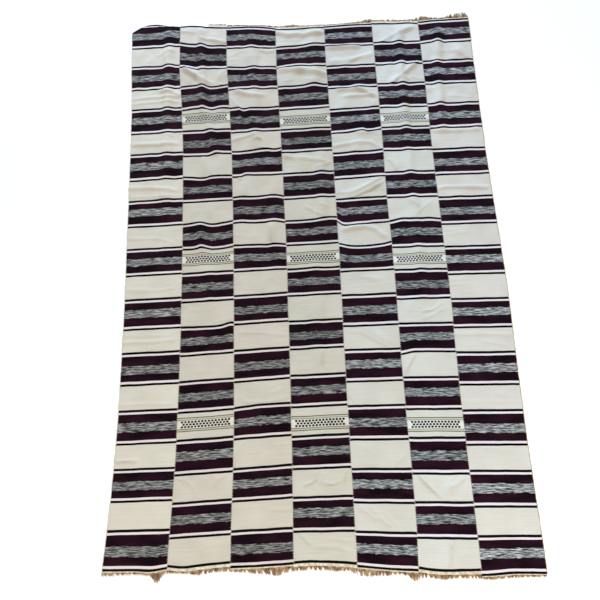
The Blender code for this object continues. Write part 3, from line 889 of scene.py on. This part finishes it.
# Cloudy patterns, in patches to a metre: a bend in the weft every 70 mm, stains of 110 mm,
# thick threads 2.4 mm apart, blotches of 100 by 33 mm and a ragged edge in 24 by 6 mm steps
BENDS = 14.0
STAINS = 9.0
THICK_THREADS = (9.0, 420.0)
BLOTCHES = (10.0, 30.0)
RAGGED_STEPS = (42.0, 160.0)
CLEAN = (1.0, 1.0, 1.0, 1.0)
STAINED = (0.93, 0.92, 0.90, 1.0)


def drawn_out(tree, weave, patches, **looks):
    """A cloudy pattern drawn out along the weft, with so many patches to a metre each way."""
    stretched = add_node(tree, "ShaderNodeVectorMath", {0: weave, 1: (*patches, 1.0)}, operation="MULTIPLY")
    return add_node(tree, "ShaderNodeTexNoise", {"Vector": stretched, "Scale": 1.0, **looks})


def banded_cotton(name, delay=None):
    """Weft-banded plain-weave cotton: matt, with a fine rib and hardly any sheen."""
    material, tree, shader = new_material(name)
    weave = add_node(tree, "ShaderNodeUVMap", uv_map="weave_map")
    place = add_node(tree, "ShaderNodeSeparateXYZ", {0: weave})
    strip = calculate(tree, "FLOOR", place.outputs["X"])
    width = calculate(tree, "FRACT", place.outputs["X"])

    bend = add_node(tree, "ShaderNodeTexNoise", {"Vector": weave, "Scale": BENDS, "Detail": 2.0})
    straight = calculate(tree, "SUBTRACT", bend, 0.5)
    loom = calculate(tree, "MULTIPLY_ADD", straight, WEFT_WANDER * MM, place.outputs["Y"])
    repeats = calculate(tree, "DIVIDE", loom, REPEAT * MM)
    number = calculate(tree, "FLOOR", repeats)
    in_repeat = calculate(tree, "FRACT", repeats)

    bands = add_node(tree, "ShaderNodeValToRGB", {0: in_repeat})
    set_stops(bands, chart_stops(DARK_CHART, PLAIN_CHART), "CONSTANT")
    ground = bands
    if delay is not None:
        ground = motif_bands(tree, bands, in_repeat, number, width, delay)

    # Slow stains and single thicker threads, which keep the cream from looking printed
    cloud = add_node(tree, "ShaderNodeTexNoise", {"Vector": weave, "Scale": STAINS, "Detail": 3.0})
    cloud_share = map_range(tree, cloud, (0.35, 0.75), (0.0, 1.0))
    threads = drawn_out(tree, weave, THICK_THREADS, Detail=2.0)
    thread_tone = map_range(tree, threads, (0.3, 0.7), (0.94, 1.04))
    toned = mix_colours(tree, 1.0, ground, mix_colours(tree, cloud_share, CLEAN, STAINED), "MULTIPLY")

    # The dye of the purple bands took unevenly
    half_purple = DARK_CHART[2].width / 2
    in_purple = calculate(tree, "COMPARE", in_repeat, DARK_BLOCK / 2 / REPEAT, half_purple / REPEAT)
    blotches = drawn_out(tree, weave, BLOTCHES, Detail=3.0)
    worn_dye = map_range(tree, blotches, (0.38, 0.62), (0.0, 0.9))
    worn_purple = calculate(tree, "MULTIPLY", worn_dye, in_purple)
    purple = mix_colours(tree, worn_purple, toned, PURPLE_WORN)

    # The marled band, whose middle wanders a little from block to block
    which = add_node(tree, "ShaderNodeCombineXYZ", {0: strip, 1: number})
    chance = add_node(tree, "ShaderNodeTexWhiteNoise", {"Vector": which})
    middles = [(DARK_BLOCK / 2 + side * MARL_SHIFT / 2) / REPEAT for side in (-1, 1)]
    middle = map_range(tree, chance.outputs["Value"], (0.0, 1.0), middles)
    steps = drawn_out(tree, weave, RAGGED_STEPS, Detail=3.0)
    ragged = map_range(tree, steps, (0.3, 0.7), (-MARL_EDGE / REPEAT, MARL_EDGE / REPEAT))
    marl_place = calculate(tree, "ADD", in_repeat, ragged)
    in_marl = calculate(tree, "COMPARE", marl_place, middle, MARL_WIDTH / 2 / REPEAT)
    streaks = drawn_out(tree, weave, (1000 / MARL_STREAK_LENGTH, 1000 / MARL_STREAK_WIDTH),
                        Detail=4.0, Roughness=0.62, Distortion=0.4)
    marl = add_node(tree, "ShaderNodeValToRGB", {0: streaks})
    set_stops(marl, [(0.39, MARL_DARK), (0.49, MARL_GREY), (0.59, MARL_LIGHT)])
    marl_dim = by_strip(tree, strip, [(yarn.marl_dim,) * 3 + (1.0,) for yarn in STRIP_LIGHT_AND_MARL.values()])
    worn = calculate(tree, "MULTIPLY_ADD", chance.outputs["Value"], MARL_DIM, marl_dim)
    dyed = mix_colours(tree, in_marl, purple, mix_colours(tree, worn, marl, MARL_DARK))

    # Over all of it go the tone of single threads and the strip's tint of painted light and shade
    tone_colour = add_node(tree, "ShaderNodeCombineColor", {0: thread_tone, 1: thread_tone, 2: thread_tone})
    threaded = mix_colours(tree, 1.0, dyed, tone_colour, "MULTIPLY")
    cast = by_strip(tree, strip, [linear(yarn.cast) for yarn in STRIP_LIGHT_AND_MARL.values()])
    tree.links.new(mix_colours(tree, 1.0, threaded, cast, "MULTIPLY"), shader.inputs["Base Color"])

    # The rib of the weft over the warp, with thicker picks here and there
    waves = []
    for along, pitch in ((loom, WEFT_PITCH), (width, WARP_PITCH)):
        turns = calculate(tree, "MULTIPLY", along, 2 * math.pi / (pitch * MM))
        waves.append(calculate(tree, "SINE", turns))
    crossing = calculate(tree, "MULTIPLY_ADD", waves[0], waves[1], waves[0])
    slub = calculate(tree, "MULTIPLY_ADD", threads, 3.0, crossing)
    relief = add_node(tree, "ShaderNodeBump", {"Strength": 0.35, "Distance": 0.35 * MM, "Height": slub})
    tree.links.new(relief.outputs[0], shader.inputs["Normal"])
    for look, value in (("Roughness", 0.95), ("IOR", 1.5), ("Specular IOR Level", 0.06),
                        ("Sheen Weight", 0.02), ("Sheen Roughness", 0.5)):
        shader.inputs[look].default_value = value
    return material


# %% [markdown]
# ## The dotted bands
#
# On three plain blocks of every second strip the weaver laid in a narrow band by hand: two
# pairs of thin olive lines, and between them three rows of small black dots, each row
# shifted by half a step, with a white patch at either side. It is a small repeat, so it is
# charted from its real sizes: the distance between dots and between rows.

# %% Nodes for the dotted bands
DOT_PITCH = 11.6
ROW_PITCH = 7.8
FIRST_ROW = 32.8
FIRST_DOT = 17.0
DOT_HALF_WIDTH = 4.0
DOT_HALF_HEIGHT = 3.2
DOT_UNEVENNESS = 0.10
MOTIF_EVERY = 3
MOTIF_OFFSET = 2


def motif_bands(tree, bands, in_repeat, number, width, delay):
    """Put the dotted band over the plain block in every third repeat."""
    chart = add_node(tree, "ShaderNodeValToRGB", {0: in_repeat})
    before = MOTIF_START + delay
    after = PLAIN_BLOCK - LINE_WIDTH / 2 - before - sum(band.width for band in MOTIF_CHART)
    around = (Band(CREAM, after - LINE_WIDTH / 2), Band(LINE_BLACK, LINE_WIDTH / 2))
    set_stops(chart, chart_stops(DARK_CHART, (Band(CREAM, before),), MOTIF_CHART, around), "CONSTANT")
    in_block = calculate(tree, "MULTIPLY_ADD", in_repeat, REPEAT, -DARK_BLOCK - FIRST_ROW - delay)
    row_place = calculate(tree, "MULTIPLY_ADD", in_block, 1 / ROW_PITCH, 0.5)
    row = calculate(tree, "FLOOR", row_place)
    row_off = calculate(tree, "FRACT", row_place)
    dot_place = calculate(tree, "MULTIPLY_ADD", width, 1000 / DOT_PITCH, 0.5 - FIRST_DOT / DOT_PITCH)
    shifted = calculate(tree, "MULTIPLY_ADD", row, 0.5, dot_place)
    dot_off = calculate(tree, "FRACT", shifted)

    # How far this point is from its dot's middle, in dot sizes, and how big that dot is
    middle = add_node(tree, "ShaderNodeCombineXYZ", {0: dot_off, 1: row_off})
    offset = add_node(tree, "ShaderNodeVectorMath", {0: middle, 1: (0.5, 0.5, 0.0)}, operation="SUBTRACT")
    in_dots = add_node(tree, "ShaderNodeVectorMath", {
        0: offset, 1: (DOT_PITCH / DOT_HALF_WIDTH, ROW_PITCH / DOT_HALF_HEIGHT, 0.0),
    }, operation="MULTIPLY")
    fourth = add_node(tree, "ShaderNodeVectorMath", {0: in_dots, 1: in_dots}, operation="MULTIPLY")
    distance = add_node(tree, "ShaderNodeVectorMath", {0: fourth}, operation="LENGTH")
    dot_number = calculate(tree, "FLOOR", shifted)
    which = add_node(tree, "ShaderNodeCombineXYZ", {0: dot_number, 1: row, 2: number})
    chance = add_node(tree, "ShaderNodeTexWhiteNoise", {"Vector": which})
    sizes = (1 - DOT_UNEVENNESS, 1 + DOT_UNEVENNESS)
    size = map_range(tree, chance.outputs["Value"], (0.0, 1.0), sizes)
    is_dot = calculate(tree, "LESS_THAN", distance.outputs["Value"], size)

    # Three rows, and only between the white patches at the sides
    in_rows = calculate(tree, "COMPARE", row, 1.0, 1.1)
    # The middle row has one dot less
    middle_row = calculate(tree, "FLOORED_MODULO", row, 2.0)
    widest = (LOOM_WIDTH / 2 - FIRST_DOT + DOT_HALF_WIDTH + 0.5) * MM
    reach = calculate(tree, "MULTIPLY_ADD", middle_row, -DOT_PITCH / 2 * MM, widest)
    in_width = calculate(tree, "COMPARE", width, LOOM_WIDTH / 2 * MM, reach)
    in_patch = calculate(tree, "GREATER_THAN", in_rows, in_width)
    patched = mix_colours(tree, in_patch, chart, MOTIF_WHITE)
    dots = calculate(tree, "MULTIPLY", in_rows, in_width)
    dots = calculate(tree, "MULTIPLY", dots, is_dot)
    dotted = mix_colours(tree, dots, patched, MOTIF_BLACK)
    third = calculate(tree, "FLOORED_MODULO", number, float(MOTIF_EVERY))
    chosen = calculate(tree, "COMPARE", third, float(MOTIF_OFFSET), 0.1)
    return mix_colours(tree, chosen, bands, dotted)


plain_cotton = banded_cotton("banded_cotton")
cottons = {k: banded_cotton(f"banded_cotton_with_dots_{k}", delay) for k, delay in MOTIF_DELAY.items()}
for strip, cloth in strips.items():
    cloth.data.materials.clear()
    cloth.data.materials.append(cottons.get(strip, plain_cotton))
print("nodes in the dotted cotton:", len(cottons[2].node_tree.nodes))

# %% [markdown]
# ## The seams
#
# The strips are whip-stitched: the thread goes over the two edges in small slanting
# stitches, about 7 mm apart. Each stitch is a short spline with a round bevel, and a whole
# seam is one curve, turned into a mesh when it is complete.

# %% Whip stitches
STITCH_PITCH = 7.0
STITCH_HALF_WIDTH = 3.0
STITCH_SLANT = 2.6
THREAD_RADIUS = 0.42
STITCH_ARC = (-1.0, -0.45, 0.45, 1.0)
STITCH_LIFT = 0.35
STITCH_DROP = 0.55
STITCH_UNEVENNESS = 0.5
SEAM_MARGIN = 3.0
# Single fibres of a yarn are finer still, so they are drawn at 0.7 mm
FIBRES_PER_METRE = 1400.0


def cotton_thread(name, light, dark, per_metre):
    """Twisted cotton yarn: matt, with so many lighter and darker lengths to a metre."""
    material, tree, shader = new_material(name)
    where = add_node(tree, "ShaderNodeTexCoord")
    noise = add_node(tree, "ShaderNodeTexNoise", {
        "Vector": where.outputs["Object"], "Scale": per_metre, "Detail": 3.0,
    })
    tone = add_node(tree, "ShaderNodeValToRGB", {0: noise})
    set_stops(tone, [(0.36, dark), (0.62, light)])
    fibre = add_node(tree, "ShaderNodeTexNoise", {
        "Vector": where.outputs["Object"], "Scale": FIBRES_PER_METRE,
    })
    relief = add_node(tree, "ShaderNodeBump", {"Strength": 0.3, "Distance": 0.2 * MM, "Height": fibre})
    tree.links.new(tone.outputs[0], shader.inputs["Base Color"])
    tree.links.new(relief.outputs[0], shader.inputs["Normal"])
    shader.inputs["Roughness"].default_value = 0.95
    shader.inputs["Specular IOR Level"].default_value = 0.2
    return material


def curve_to_mesh(name, splines, radius, sides_step, material):
    """Draw splines, each an array of x, y, z and radius share, as one bevelled mesh."""
    curve = bpy.data.curves.new(name, "CURVE")
    curve.dimensions = "3D"
    curve.bevel_depth = radius
    curve.bevel_resolution = sides_step
    curve.use_fill_caps = True
    for points in splines:
        spline = curve.splines.new("POLY")
        spline.points.add(len(points) - 1)
        spline.points.foreach_set("co", np.insert(points[:, :3], 3, 1.0, axis=1).ravel())
        spline.points.foreach_set("radius", points[:, 3])
    piece = bpy.data.objects.new(name, curve)
    bpy.context.collection.objects.link(piece)
    bpy.ops.object.select_all(action="DESELECT")
    piece.select_set(True)
    bpy.context.view_layer.objects.active = piece
    bpy.ops.object.convert(target="MESH")
    piece.data.name = name
    piece.data.materials.append(material)
    bpy.ops.object.shade_smooth()
    return piece


def sew_seam(seam, thread):
    """One row of slanting stitches along the seam between two strips."""
    near = max(float(end_y(seam, "near", 1.0)), float(end_y(seam + 1, "near", 0.0))) + SEAM_MARGIN
    far = min(float(end_y(seam, "far", 1.0)), float(end_y(seam + 1, "far", 0.0))) - SEAM_MARGIN
    rng = np.random.default_rng(seam)
    starts = np.arange(near, far - STITCH_SLANT, STITCH_PITCH)
    starts = starts + rng.normal(0.0, STITCH_UNEVENNESS, len(starts))
    over = np.array(STITCH_ARC)
    y = starts[:, None] + STITCH_SLANT * (over + 1) / 2
    x = edge_x(seam, y) + STITCH_HALF_WIDTH * over
    left = cloth_height(seam, np.ones_like(x), x, y)
    right = cloth_height(seam + 1, np.zeros_like(x), x, y)
    z = np.where(over < 0, left, right) + STITCH_LIFT - STITCH_DROP * over**2
    stitches = np.concatenate([to_world(x, y, z), np.ones((*x.shape, 1))], axis=-1)
    return curve_to_mesh(f"seam_{seam}", stitches, THREAD_RADIUS * MM, 0, thread)


sewing_thread = cotton_thread("sewing_cotton", linear("#d8d0c0"), linear("#b9b0a0"), 60.0)
seams = {k: sew_seam(k, sewing_thread) for k in range(1, 7)}
print("stitches' triangles:", sum(2 * len(s.data.polygons) for s in seams.values()))

# %% [markdown]
# ## Headings and loose warp ends
#
# Past the last black line the weave goes on for a few picks of plain cream, the heading,
# which keeps the bands from slipping off. Beyond it the warp was cut, and its raw ends curl
# into small uneven locks. The heading is a narrow sheet. Each lock is a handful of yarn
# ends that start side by side, run together and fray apart at their tips. Tables say how
# far the fringe reaches along each end, and where neighbouring locks have matted together.

# %% The fringe's tables
# The headings' widths, and the share of the strip at which each starts
Heading = namedtuple("Heading", "end strip width start", defaults=(0.0,))
HEADINGS = (
    Heading("far", 2, 11.0, 0.6), Heading("far", 3, 5.0), Heading("far", 4, 8.0),
    Heading("far", 5, 5.0), Heading("far", 6, 9.0), Heading("far", 7, 5.0),
    Heading("near", 1, 5.0), Heading("near", 2, 10.0), Heading("near", 3, 5.0),
    Heading("near", 4, 10.0), Heading("near", 5, 5.0), Heading("near", 6, 10.0),
    Heading("near", 7, 4.0),
)
# How far the fringe reaches: the y at each of a row of places x
REACHES = {
    "far": (
        (-420, 1073), (-335, 1076), (-300, 1070), (-250, 1069),
        (-215, 1064), (-170, 1063), (-125, 1060), (-90, 1056),
        (-35, 1061), (0, 1054), (60, 1055), (120, 1055),
        (170, 1057), (225, 1064), (283, 1077), (310, 1069),
        (370, 1069), (415, 1064), (455, 1066), (500, 1081),
        (545, 1075), (585, 1068), (625, 1084), (675, 1091),
        (700, 1090),
    ),
    "near": (
        (-700, -1057), (-640, -1053), (-560, -1056), (-523, -1082),
        (-492, -1055), (-440, -1054), (-388, -1060), (-340, -1053),
        (-290, -1053), (-245, -1056), (-175, -1065), (-125, -1069),
        (-90, -1058), (0, -1055), (50, -1061), (85, -1060),
        (125, -1076), (205, -1078), (255, -1074), (297, -1096),
        (330, -1086), (385, -1093), (450, -1090), (535, -1096),
        (610, -1093), (715, -1091),
    ),
}
# Where locks lean together, over what width and how strongly
Clump = namedtuple("Clump", "end x spread pull")
CLUMPS = (
    Clump("far", -270, 45, 0.40), Clump("far", -40, 40, 0.35), Clump("far", 280, 45, 0.45),
    Clump("far", 515, 35, 0.40), Clump("far", 655, 50, 0.40), Clump("near", -523, 32, 0.50),
    Clump("near", -390, 35, 0.35), Clump("near", -145, 38, 0.45), Clump("near", 40, 35, 0.35),
    Clump("near", 140, 35, 0.40), Clump("near", 296, 30, 0.50), Clump("near", 385, 40, 0.35),
    Clump("near", 540, 35, 0.35),
)
print("headings:", len(HEADINGS), "and places where locks lean together:", len(CLUMPS))

# %% Headings
HEADING_COLUMNS = 40
HEADING_ROWS = 3
HEADING_TOP = 1.9
HEADING_SLOPE = 0.35
# The heading's outer edge is wavy and its top ripples: how much, and how often over a strip
EDGE_WAVE = 0.7
EDGE_WAVES = 61.0
TOP_RIPPLE = 0.15
TOP_RIPPLES = 47.0


def lay_heading(heading, material):
    """The few plain picks beyond the last black line."""
    outward = 1.0 if heading.end == "far" else -1.0
    band, over, up = flat_cloth(f"heading_{heading.end}_{heading.strip}", HEADING_COLUMNS, HEADING_ROWS)
    share = heading.start + (1.0 - heading.start) * over
    out = 0.5 + (up - 0.5) * outward
    wavy = EDGE_WAVE * np.sin(share * EDGE_WAVES + heading.strip) * out
    y = end_y(heading.strip, heading.end, share) + outward * (PIECE_GAP + heading.width * out + wavy)
    x = across(heading.strip, share, y)
    lay_down(band, x, y, HEADING_TOP - HEADING_SLOPE * out + TOP_RIPPLE * np.sin(share * TOP_RIPPLES))
    band.data.materials.clear()
    band.data.materials.append(material)
    return band


# %% Loose ends
LOCK_PITCH = 8.6
ENDS_IN_LOCK = 10
LOCK_SWAY = 3.4
END_RADIUS = 0.62
END_POINTS = 7
END_TAPER = 0.45
LENGTH_UNEVENNESS = 0.30
SHORTEST_END = 3.0
# How an end lies: it starts under the heading, draws in to its lock, frays, curls and arches
FRINGE_Y = 1060
TUCKED_IN = 1.5
ROOT_DEPTH = 0.9
OFF_THE_FLOOR = 0.2
GATHER = 0.36
FRAY = 1.3
CURL = 0.9
CURL_TURNS = (1.2, 2.6)
ARCH = 2.2
INSIDE_STRIP = 0.8


def lean(end, x):
    """How far sideways the tips lean towards the clumps near them."""
    total = 0.0
    for clump in CLUMPS:
        if clump.end == end:
            off = (clump.x - x) / clump.spread
            total += clump.pull * (clump.x - x) * math.exp(-off * off)
    return total


def heading_sides(heading):
    """Which way a heading's ends point, and the x of its strip's two sides there."""
    outward = 1.0 if heading.end == "far" else -1.0
    left, right = (float(edge_x(edge, outward * FRINGE_Y)) for edge in (heading.strip - 1, heading.strip))
    return outward, left, right


def yarn_end(heading, rng, lock_x, root_x, sway):
    """One raw warp end, from under the heading to its frayed tip on the floor."""
    outward, left, right = heading_sides(heading)
    share = (root_x - left) / (right - left)
    root_y = float(end_y(heading.strip, heading.end, share)) + outward * (heading.width - TUCKED_IN)
    reach = float(smooth_between(*np.transpose(REACHES[heading.end]), lock_x))
    length = max(abs(reach - root_y) * (1 - LENGTH_UNEVENNESS * rng.random()), SHORTEST_END)
    t = np.linspace(0.0, 1.0, END_POINTS)
    gather = GATHER * (lock_x - root_x) + sway
    fray = rng.normal(0.0, FRAY)
    curl = rng.normal(0.0, CURL) * np.sin(t * math.pi * rng.uniform(*CURL_TURNS) + rng.uniform(0, 6))
    x = root_x + (gather + lean(heading.end, lock_x)) * ease(t) + fray * t**2 + curl * t
    x = np.clip(x, left + INSIDE_STRIP, right - INSIDE_STRIP)
    y = root_y + outward * length * t
    arch = rng.uniform(0.0, ARCH) * np.sin(math.pi * t)
    z = (HEADING_TOP - ROOT_DEPTH) * (1 - t) + END_RADIUS * t + arch + OFF_THE_FLOOR
    return np.column_stack([to_world(x, y, z), 1.0 - END_TAPER * t])


def loose_ends(heading, material):
    """All the locks of one cut end."""
    outward, left, right = heading_sides(heading)
    start = left + (right - left) * heading.start
    locks = round((right - start) / LOCK_PITCH)
    pitch = (right - start) / locks
    rng = np.random.default_rng(100 * heading.strip + int(outward > 0))
    ends = []
    for lock in range(locks):
        lock_x = start + pitch * (lock + 0.5)
        sway = rng.normal(0.0, LOCK_SWAY)
        for k in range(ENDS_IN_LOCK):
            root_x = lock_x + pitch * ((k + 0.5) / ENDS_IN_LOCK - 0.5)
            ends.append(yarn_end(heading, rng, lock_x, root_x, sway))
    return curve_to_mesh(f"loose_ends_{heading.end}_{heading.strip}", ends, END_RADIUS * MM, 0, material)


heading_cotton = cotton_thread("heading_cotton", linear("#dcd4c6"), linear("#b9ad9b"), 90.0)
# The loose ends' cotton is drawn tan-brown: painted shade and a painted reflection of a brown floor
warp_with_painted_shade = cotton_thread("warp_cotton_with_painted_shade", linear("#bb9c78"), linear("#725235"), 55.0)
fringes = {}
for heading in HEADINGS:
    band = lay_heading(heading, heading_cotton)
    ends = loose_ends(heading, warp_with_painted_shade)
    bpy.ops.object.select_all(action="DESELECT")
    band.select_set(True)
    ends.select_set(True)
    bpy.context.view_layer.objects.active = ends
    bpy.ops.object.join()
    ends.name = ends.data.name = f"cut_end_{heading.end}_{heading.strip}"
    fringes[heading.end, heading.strip] = ends
print("fringe triangles:", sum(2 * len(f.data.polygons) for f in fringes.values()))

# %% [markdown]
# ## The two outer selvedges
#
# Along the blanket's two free edges the weft turns back round a few thick warp ends. Where
# it has worn off they stand a little proud of the bands as a thin cord. Each cord is a curve
# with a round bevel. The one on the right is cotton in a tan-brown of painted shade and painted floor
# reflection, and the one on the left is paler.

# %% Selvedge cords
CORD_RADIUS = 1.2
CORD_UNEVENNESS = 0.12
CORD_STEP = 6.0
CORD_MARGIN = 2.0
CORD_OFF_EDGE = 0.5
CORD_SUNK = 0.6


def selvedge_cord(strip, edge, share, material):
    """One loose cord along a free edge of the blanket."""
    rng = np.random.default_rng(40 + edge)
    near = float(end_y(strip, "near", share)) + CORD_MARGIN
    far = float(end_y(strip, "far", share)) - CORD_MARGIN
    y = np.arange(near, far, CORD_STEP)
    outward = 1.0 if edge else -1.0
    x = edge_x(edge, y) + outward * (CORD_OFF_EDGE + np.abs(rng.normal(0.0, CORD_OFF_EDGE, len(y))))
    z = cloth_height(strip, np.full_like(y, share), edge_x(edge, y), y) - CORD_RADIUS * CORD_SUNK
    cord = np.column_stack([to_world(x, y, z), 1.0 + rng.normal(0.0, CORD_UNEVENNESS, len(y))])
    return curve_to_mesh(f"selvedge_cord_{strip}", [cord], CORD_RADIUS * MM, 1, material)


# The right cord's tan-brown is painted shade and painted floor reflection
cords = {1: selvedge_cord(1, 0, 0.0, heading_cotton), 7: selvedge_cord(7, 7, 1.0, warp_with_painted_shade)}
print("cords' triangles:", sum(2 * len(c.data.polygons) for c in cords.values()))

# %% [markdown]
# ## What the fine pieces replace
#
# The strips and the cut ends take the place of plain solids of the imported model, which are
# hidden, and every fine piece hangs from the root body, so that it moves with it.

# %% Pieces
for (end, strip), piece in fringes.items():
    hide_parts(f"fringe_{end}_{strip}")
    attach(piece, "root")
for seam in seams.values():
    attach(seam, "root")
for cord in cords.values():
    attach(cord, "root")
for strip, cloth in strips.items():
    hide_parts(f"strip_{strip}")
    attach(cloth, "root")
    length = float(end_y(strip, "far", 0.5) - end_y(strip, "near", 0.5)) * MM
    trims = [piece for (_, owner), piece in fringes.items() if owner == strip]
    trims += [seam for number, seam in seams.items() if number == strip]
    trims += [cord for owner, cord in cords.items() if owner == strip]

# %% [markdown]
# ## Floor, light and camera
#
# The floor is plain and nearly white. Cool light from a window beyond the far end is low
# enough to model the folds, and a second, smaller window whitens the cloth nearest to it.
# A weak warm fill comes from the near side. The camera looks down from over the near end, as
# somebody on a low step would hold it.

# %% Floor
FLOOR_SIZE = 40
FLOOR_LEVEL = -0.0005

bpy.ops.object.select_all(action="DESELECT")
bpy.ops.mesh.primitive_plane_add(size=FLOOR_SIZE, location=(0, 0, FLOOR_LEVEL))
floor = bpy.context.object
floor.name = "floor"
floor_paint, _, floor_shader = new_material("white_floor_paint")
floor_shader.inputs["Base Color"].default_value = linear("#fbfbfb")
floor_shader.inputs["Roughness"].default_value = 0.9
floor.data.materials.append(floor_paint)

# %% Light
# The spread is the sun's angle or an area lamp's size in metres
Light = namedtuple("Light", "name kind place aim spread power colour")
LIGHTS = (
    Light("window_light", "SUN", (-0.22, 1.5, 0.80), (0.0, 0.0, 0.0), math.radians(11), 3.38, "#d4f1ff"),
    Light("far_window", "AREA", (-0.5, 2.0, 0.8), (0.1, 0.9, 0.0), 1.0, 17.0, "#b6d4ff"),
    Light("near_fill", "AREA", (0.9, -3.0, 1.9), (0.0, -0.9, 0.0), 1.8, 66.0, "#ffefdb"),
)
ROOM_COLOUR = "#ffefdc"
ROOM_STRENGTH = 0.49


def add_light(light):
    """A lamp at its place, turned to what it is aimed at."""
    lamp = bpy.data.lights.new(light.name, light.kind)
    if light.kind == "SUN":
        lamp.angle = light.spread
    else:
        lamp.size = light.spread
    lamp.energy = light.power
    lamp.color = linear(light.colour)[:3]
    holder = bpy.data.objects.new(light.name, lamp)
    bpy.context.scene.collection.objects.link(holder)
    holder.location = light.place
    away = Vector(light.place) - Vector(light.aim)
    holder.rotation_euler = away.to_track_quat("Z", "Y").to_euler()


for light in LIGHTS:
    add_light(light)
print("lamps:", [light.name for light in LIGHTS])
world = bpy.data.worlds.new("soft_room")
world.use_nodes = True
world.node_tree.nodes["Background"].inputs["Color"].default_value = linear(ROOM_COLOUR)
world.node_tree.nodes["Background"].inputs["Strength"].default_value = ROOM_STRENGTH
bpy.context.scene.world = world
bpy.context.scene.view_settings.view_transform = "Standard"

# %% Camera
LENS = 36.0
SENSOR = 36.0
CAMERA_TURN = math.radians(-1.92)
CAMERA_TILT = math.radians(16.91)
CAMERA_ROLL = math.radians(1.13)

camera_data = bpy.data.cameras.new("camera")
camera_data.lens = LENS
camera_data.sensor_width = SENSOR
camera = bpy.data.objects.new("camera", camera_data)
bpy.context.scene.collection.objects.link(camera)
turn = Matrix.Rotation(CAMERA_TURN, 4, "Z") @ Matrix.Rotation(CAMERA_TILT, 4, "X")
turn = turn @ Matrix.Rotation(CAMERA_ROLL, 4, "Y")
camera.matrix_world = Matrix.Translation(to_world(*CAMERA_PLACE)) @ turn
bpy.context.scene.camera = camera
print("camera at, in metres:", [round(v, 3) for v in camera.matrix_world.translation])
